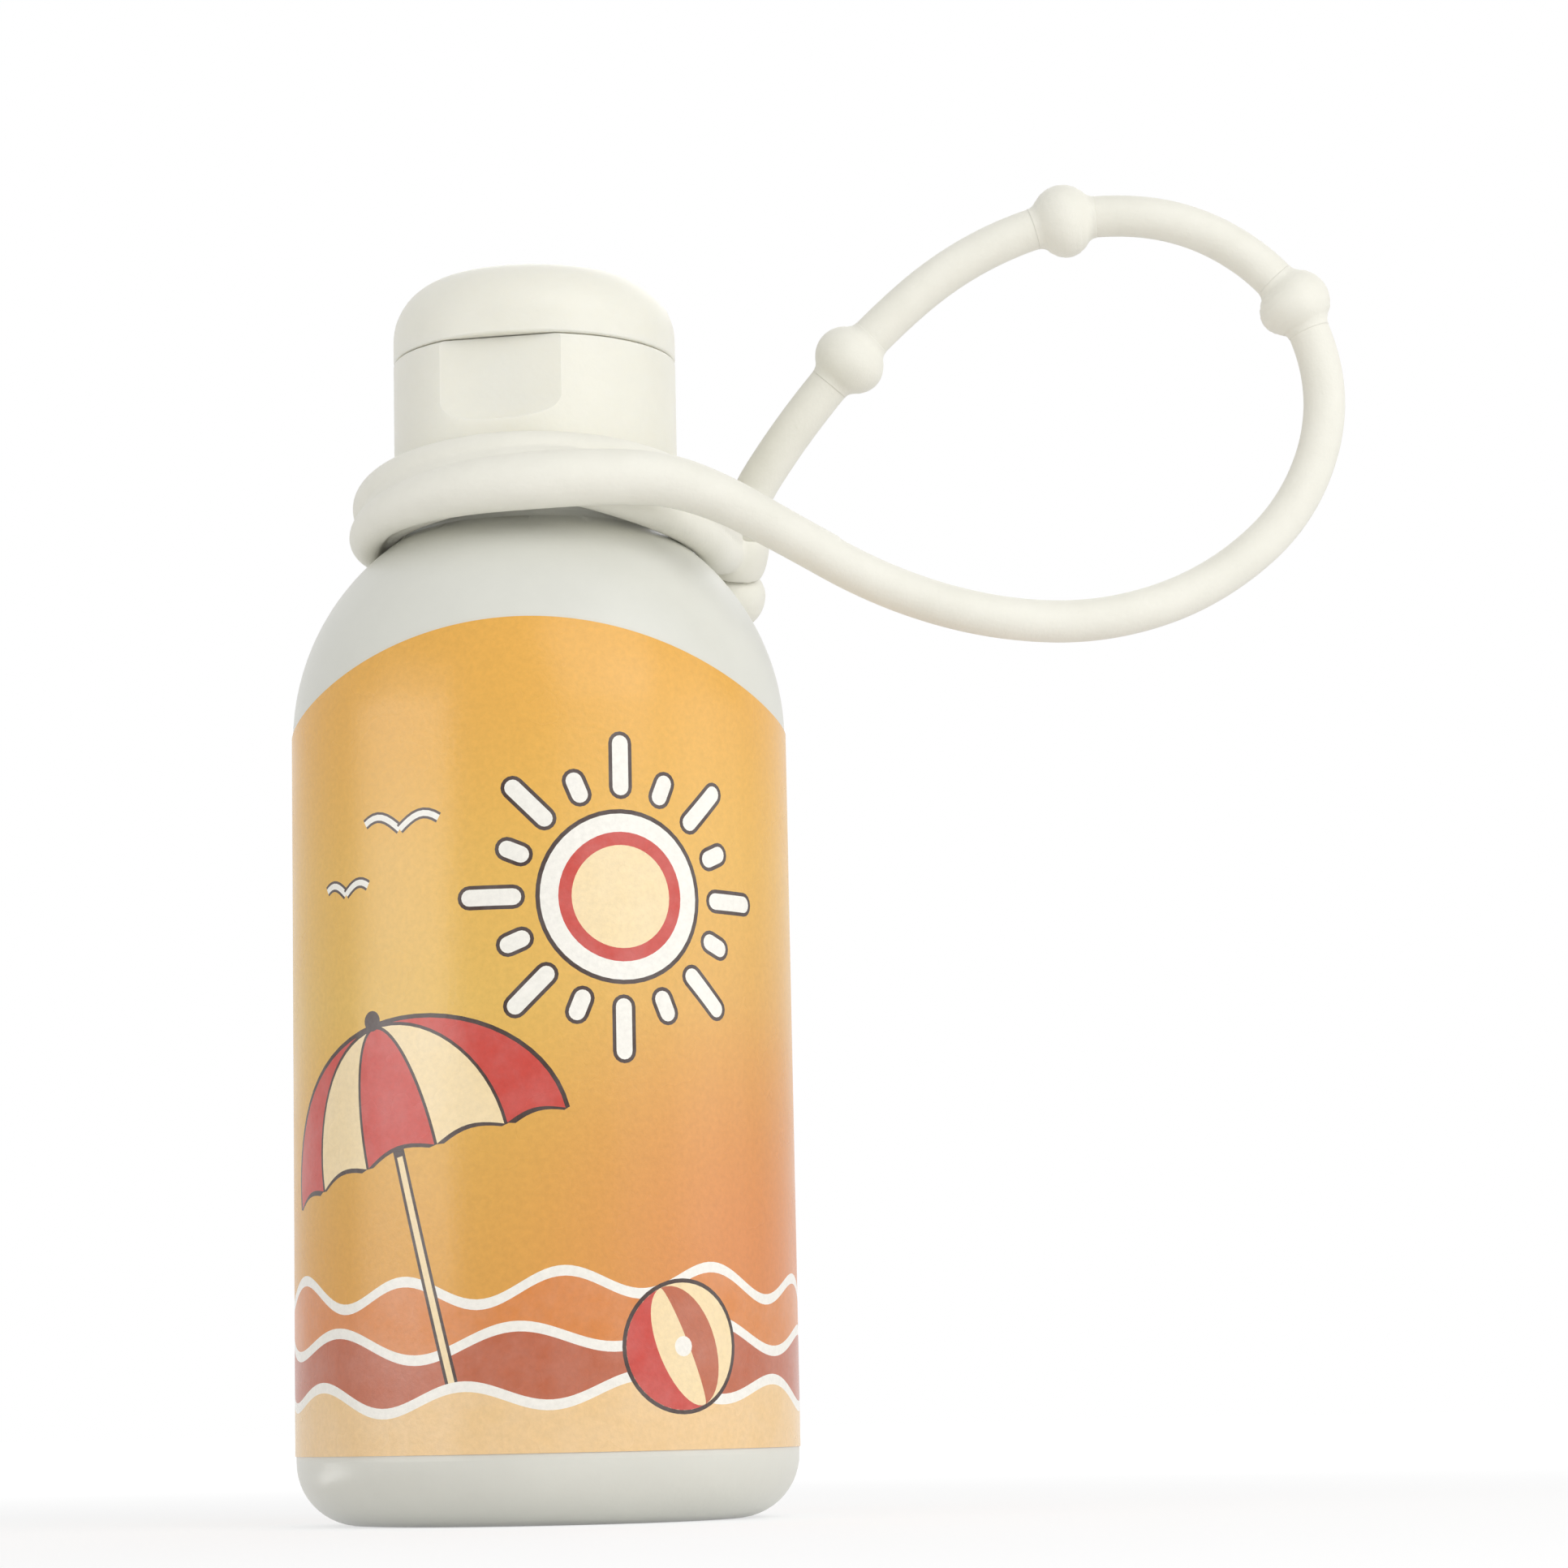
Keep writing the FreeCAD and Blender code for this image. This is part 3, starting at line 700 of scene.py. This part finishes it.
def sun(centre, radius, rays):
    """A disc with round-ended rays, white with a dark outline, drawn from the back to the front."""
    shapes = []
    half_ray = radius * SUN_RAY_HALF_WIDTH
    for step in range(rays):
        tip = radius * (SUN_LONG_RAY if step % 2 == 0 else SUN_SHORT_RAY)
        ends = ((tip - half_ray, -math.pi / 2), (radius * SUN_RAY_FOOT, math.pi / 2))
        for half, colour in ((half_ray + SUN_RAY_OUTLINE, "dark"), (half_ray, "white")):
            ray = []
            for end, first in ends:
                turns = [first + math.pi * k / 8 for k in range(9)]
                ray += [(centre[0] + end + half * math.cos(t), centre[1] + half * math.sin(t)) for t in turns]
            shapes.append((turned_about(ray, centre, 360 * step / rays), colour))
    shapes += [(circle(centre, radius + FIGURE_OUTLINE), "dark"), (circle(centre, radius), "white")]
    shapes += [(circle(centre, radius * SUN_RING), "coral"), (circle(centre, radius * SUN_CORE), "cream")]
    return shapes


def parasol(centre, half_width, height, pole_foot, tilt):
    """A beach parasol with alternating gores and a scalloped edge."""
    x, y = centre

    def meridian(share, grow):
        """A gore's side, from the top down."""
        across = (half_width + grow) * share
        turns = [math.pi / 2 * k / 16 for k in range(17)]
        return [(x + across * math.sin(t), y + (height + grow) * math.cos(t)) for t in turns]

    def scallop(first, last, grow):
        """A gore's lower edge, from one side to the other."""
        left = (half_width + grow) * first
        width = (half_width + grow) * last - left
        depth = PARASOL_SCALLOP * width
        return [(x + left + width * k / 10, y - grow + depth * math.sin(math.pi * k / 10))
                for k in range(1, 10)]

    shapes = [
        (stroke([(x, y + height), (x, pole_foot)], POLE_WIDTH), "dark"),
        (stroke([(x, y), (x, pole_foot + POLE_TIP)], POLE_CORE), "cream"),
    ]
    for grow in (FIGURE_OUTLINE, 0.0):
        for index, (first, last) in enumerate(zip(PARASOL_GORES, PARASOL_GORES[1:])):
            gore = meridian(first, grow) + scallop(first, last, grow) + meridian(last, grow)[:0:-1]
            colour = "dark" if grow else ("coral", "cream")[index % 2]
            shapes.append((gore, colour))
    for share in PARASOL_GORES[1:-1]:
        shapes.append((stroke(meridian(share, 0.0), PARASOL_SEAM), "dark"))
    shapes.append((circle((x, y + height + KNOB_RISE), KNOB_RADIUS, 20), "dark"))
    return [(turned_about(points, (x, pole_foot), tilt), colour) for points, colour in shapes]


def beach_ball(centre, radius, tilt):
    """A ball of coloured gores."""

    def meridian(share):
        turns = [math.pi * k / 20 for k in range(21)]
        return [(centre[0] + radius * share * math.sin(t), centre[1] + radius * math.cos(t)) for t in turns]

    shapes = [(circle(centre, radius + BEACH_BALL_OUTLINE), "dark"), (circle(centre, radius), "cream")]
    for first, last, colour in BEACH_BALL_GORES:
        gore = meridian(first) + meridian(last)[-2:0:-1]
        shapes.append((turned_about(gore, centre, tilt), colour))
    shapes.append((circle(centre, radius * BEACH_BALL_HUB, 16), "white"))
    return shapes


def gull(centre, span):
    """Two arched wing strokes."""
    wing = [(k / 8, math.sin(math.pi * k / 8 * WING_BEND) * WING_ARCH) for k in range(9)]
    shapes = []
    for side in (-1, 1):
        line = [(centre[0] + side * span / 2 * x, centre[1] + span / 2 * y) for x, y in wing]
        shapes += [(stroke(line, WING_OUTLINE), "dark"), (stroke(line, WING_CORE), "white")]
    return shapes


def wave_band(base, swell, waves, phase, colour):
    """A band from the label's lower edge up to a wavy crest with a line of foam, all the way round."""
    crest = []
    for across in across_label(CREST_STEPS):
        turn = across / PRINT_RADIUS
        drift = CREST_DRIFT * swell * math.sin(3 * turn)
        crest.append((across, base + swell * math.sin(waves * turn + phase) + drift))
    foot = [(HALF_WIDTH, LABEL_BOTTOM), (-HALF_WIDTH, LABEL_BOTTOM)]
    foam = [(x, y - FOAM_WIDTH) for x, y in reversed(crest)]
    return [(crest + foot, colour), (crest + foam, "white")]


def artwork():
    """The print's shapes, each over the ones before it: outline and ink."""
    shapes = []
    shapes += sun((6.5, 41.5), radius=5.6, rays=16)
    shapes += gull((-9.0, 46.5), span=6.0)
    shapes += gull((-14.0, 42.5), span=4.4)
    shapes += sun((-42.5, 38.0), radius=4.2, rays=16)
    shapes += gull((36.0, 45.0), span=5.2)
    shapes += gull((30.5, 41.0), span=4.0)
    shapes += wave_band(base=16.0, swell=0.9, waves=10, phase=0.4, colour="amber")
    shapes += wave_band(base=12.6, swell=0.9, waves=8, phase=2.1, colour="terracotta")
    shapes += parasol((-5.0, 25.0), half_width=12.0, height=9.0, pole_foot=7.6, tilt=14.0)
    shapes += parasol((39.5, 24.0), half_width=10.0, height=7.5, pole_foot=7.6, tilt=-12.0)
    shapes += wave_band(base=9.0, swell=0.8, waves=9, phase=4.0, colour="sand")
    shapes += beach_ball((10.5, 11.6), radius=4.2, tilt=24.0)
    shapes += beach_ball((-36.0, 11.2), radius=3.6, tilt=-30.0)
    return shapes


def label_inks():
    """The label's materials by ink, the ground first."""
    return {
        "ground": label_ground(),
        "white": ink("ink_white", 250, 247, 238),
        "dark": ink("ink_dark", 62, 40, 32),
        "coral": ink("ink_coral", 206, 70, 58),
        "cream": ink("ink_cream", 250, 226, 178),
        "terracotta": ink("ink_terracotta", 192, 104, 70),
        "amber": ink("ink_amber", 222, 138, 70),
        "sand": ink("ink_sand", 243, 206, 150),
    }


def label_rows():
    """Heights of the grid's level lines."""
    wall = [LABEL_BOTTOM + WALL_ROW_STEP * k for k in range(1, WALL_ROWS + 1)]
    arch = [ARCH_FIRST_ROW + ARCH_ROW_STEP * k for k in range(ARCH_ROWS)]
    return wall + [WALL_HEIGHT] + arch


def cut_label(art):
    """Cuts the flat label along its print and grid: corner points, and triangles with the ink on top."""
    columns = across_label(LABEL_COLUMNS)
    outline = [(x, label_top(x)) for x in columns] + [(x, LABEL_BOTTOM) for x in reversed(columns)]
    points, edges, faces = [], [], []
    for shape in [outline] + [shape for shape, _ in art]:
        loop = list(range(len(points), len(points) + len(shape)))
        points.extend(Vector(point) for point in shape)
        faces.append(loop if area(shape) > 0 else loop[::-1])
    lines = [((x, LABEL_BOTTOM), (x, label_top(x))) for x in columns[1:-1]]
    for z in label_rows():
        inside = [x for x in columns if label_top(x) >= z - TOP_TOLERANCE]
        lines.append(((inside[0], z), (inside[-1], z)))
    for line in lines:
        edges.append((len(points), len(points) + 1))
        points.extend(Vector(end) for end in line)
    flat, _, triangles, _, _, sources = delaunay_2d_cdt(points, edges, faces, 0, CUT_TOLERANCE, True)
    inked = []
    for triangle, source in zip(triangles, sources):
        if 0 in source:
            top = max(source)
            inked.append((triangle, art[top - 1][1] if top else "ground"))
    return flat, inked


def make_label():
    """The printed film: the artwork cut out of the unrolled label and wrapped on the bottle."""
    flat, inked = cut_label(artwork())
    inks = label_inks()
    order = list(inks)
    bm = bmesh.new()
    outer = [bm.verts.new(on_label(*spot)) for spot in flat]
    inner = [bm.verts.new(on_label(*spot, LABEL_THICKNESS)) for spot in flat]
    sides = {}
    for triangle, colour in inked:
        bm.faces.new([outer[i] for i in triangle]).material_index = order.index(colour)
        bm.faces.new([inner[i] for i in reversed(triangle)])
        sides.update(dict.fromkeys(zip(triangle, triangle[1:] + triangle[:1])))
    for a, b in sides:
        if (b, a) not in sides:
            bm.faces.new((outer[b], outer[a], inner[a], inner[b]))
            bm.edges.get((outer[a], outer[b])).smooth = False
            bm.edges.get((inner[a], inner[b])).smooth = False
    used = {i for triangle, _ in inked for i in triangle}
    for index in range(len(flat)):
        if index not in used:
            bm.verts.remove(outer[index])
            bm.verts.remove(inner[index])
    mesh = mesh_from(bm, "label_print")
    mesh.shade_smooth()
    label = new_object("label_print", mesh, None)
    for name in order:
        mesh.materials.append(inks[name])
    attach(label, "bottle")
    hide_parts("wrap_label")


# Bottle and cap


def finish_node(name, material):
    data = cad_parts[name].data
    data.materials.clear()
    data.materials.append(material)


def dress_bottle():
    bottle = moulded_plastic("bottle_plastic", linear(223, 223, 214), linear(216, 216, 207),
                             roughness=0.32, grain_depth=mm(0.01))
    cap = moulded_plastic("cap_plastic", linear(240, 238, 226), linear(233, 231, 219),
                          roughness=0.42, grain_depth=mm(0.025), light_depth=mm(0.8))
    liner = moulded_plastic("liner_foam", linear(236, 236, 232), linear(224, 224, 219),
                            roughness=0.7, grain_depth=mm(0.08))
    finish_node("bottle_shell", bottle)
    for name in ("cap_base", "flip_lid", "hinge_web"):
        finish_node(name, cap)
    finish_node("seal_ring", liner)


# Studio


def show_white(tree, lit, strength=1.0, share=None):
    """Mixes a shader with plain white, wholly or by a share, where the camera or a reflection sees it."""
    paths = tree.nodes.new("ShaderNodeLightPath")
    seen = paths.outputs["Is Camera Ray"]
    for name in ("Is Glossy Ray", "Is Transmission Ray"):
        seen = combined(tree, "MAXIMUM", seen, paths.outputs[name])
    if share is not None:
        seen = combined(tree, "MULTIPLY", seen, share)
    kind = "ShaderNodeBackground" if lit.node.type == "BACKGROUND" else "ShaderNodeEmission"
    white = tree.nodes.new(kind)
    white.inputs["Color"].default_value = WHITE
    white.inputs["Strength"].default_value = strength
    both = tree.nodes.new("ShaderNodeMixShader")
    tree.links.new(seen, both.inputs["Fac"])
    tree.links.new(lit, both.inputs[1])
    tree.links.new(white.outputs[0], both.inputs[2])
    return both.outputs["Shader"]


def make_floor():
    """A pale floor that keeps the shadow near the bottle and runs out to white."""
    bm = bmesh.new()
    bmesh.ops.create_grid(bm, x_segments=2, y_segments=2, size=FLOOR_HALF_SIZE)
    n = Nodes("floor")
    n.set(Base_Color=FLOOR_COLOUR, Roughness=FLOOR_ROUGHNESS)
    reach = n.add("ShaderNodeVectorMath", operation="LENGTH")
    n.link(n.position(), reach.inputs[0])
    fade = n.between(reach.outputs["Value"], *FLOOR_FADE, *FLOOR_WHITE)
    white = show_white(n.tree, n.shader.outputs["BSDF"], FLOOR_STRENGTH, fade)
    n.link(white, n.tree.nodes["Material Output"].inputs["Surface"])
    new_object("floor", mesh_from(bm, "floor"), n.material)


def make_world():
    world = bpy.data.worlds.new("studio")
    bpy.context.scene.world = world
    world.use_nodes = True
    tree = world.node_tree
    light = tree.nodes["Background"]
    light.inputs["Color"].default_value = WHITE
    light.inputs["Strength"].default_value = WORLD_STRENGTH
    output = tree.nodes["World Output"]
    tree.links.new(show_white(tree, light.outputs["Background"]), output.inputs["Surface"])


def make_lamp(name, place, target, size, watts):
    data = bpy.data.lights.new(name, "AREA")
    data.shape = "RECTANGLE"
    data.size, data.size_y = size
    data.energy = watts
    lamp = bpy.data.objects.new(name, data)
    bpy.context.scene.collection.objects.link(lamp)
    lamp.location = place
    lamp.rotation_euler = (Vector(target) - Vector(place)).to_track_quat("-Z", "Y").to_euler()
    return lamp


def make_lamps():
    for panel in PANELS:
        make_lamp(*panel)
    for card in CARDS:
        lamp = make_lamp(*card)
        lamp.visible_camera = False
        lamp.visible_diffuse = False


def make_camera():
    data = bpy.data.cameras.new("camera")
    data.sensor_width = SENSOR
    data.lens = FOCAL_PIXELS / PICTURE_PIXELS * SENSOR
    data.clip_start = mm(CAMERA_NEAREST)
    camera = bpy.data.objects.new("camera", data)
    bpy.context.scene.collection.objects.link(camera)
    right = Vector((math.cos(CAMERA_YAW), math.sin(CAMERA_YAW), 0))
    ahead = Vector((-math.sin(CAMERA_YAW) * math.cos(CAMERA_PITCH),
                    math.cos(CAMERA_YAW) * math.cos(CAMERA_PITCH), math.sin(CAMERA_PITCH)))
    up = right.cross(ahead)
    turned_right = right * math.cos(CAMERA_ROLL) - up * math.sin(CAMERA_ROLL)
    turned_up = right * math.sin(CAMERA_ROLL) + up * math.cos(CAMERA_ROLL)
    place = Matrix((turned_right, turned_up, -ahead)).transposed().to_4x4()
    place.translation = mm(CAMERA_AT)
    camera.matrix_world = place
    bpy.context.scene.camera = camera


bpy.context.scene.view_settings.view_transform = "Standard"
make_camera()
make_strap()
make_label()
dress_bottle()
make_floor()
make_world()
make_lamps()
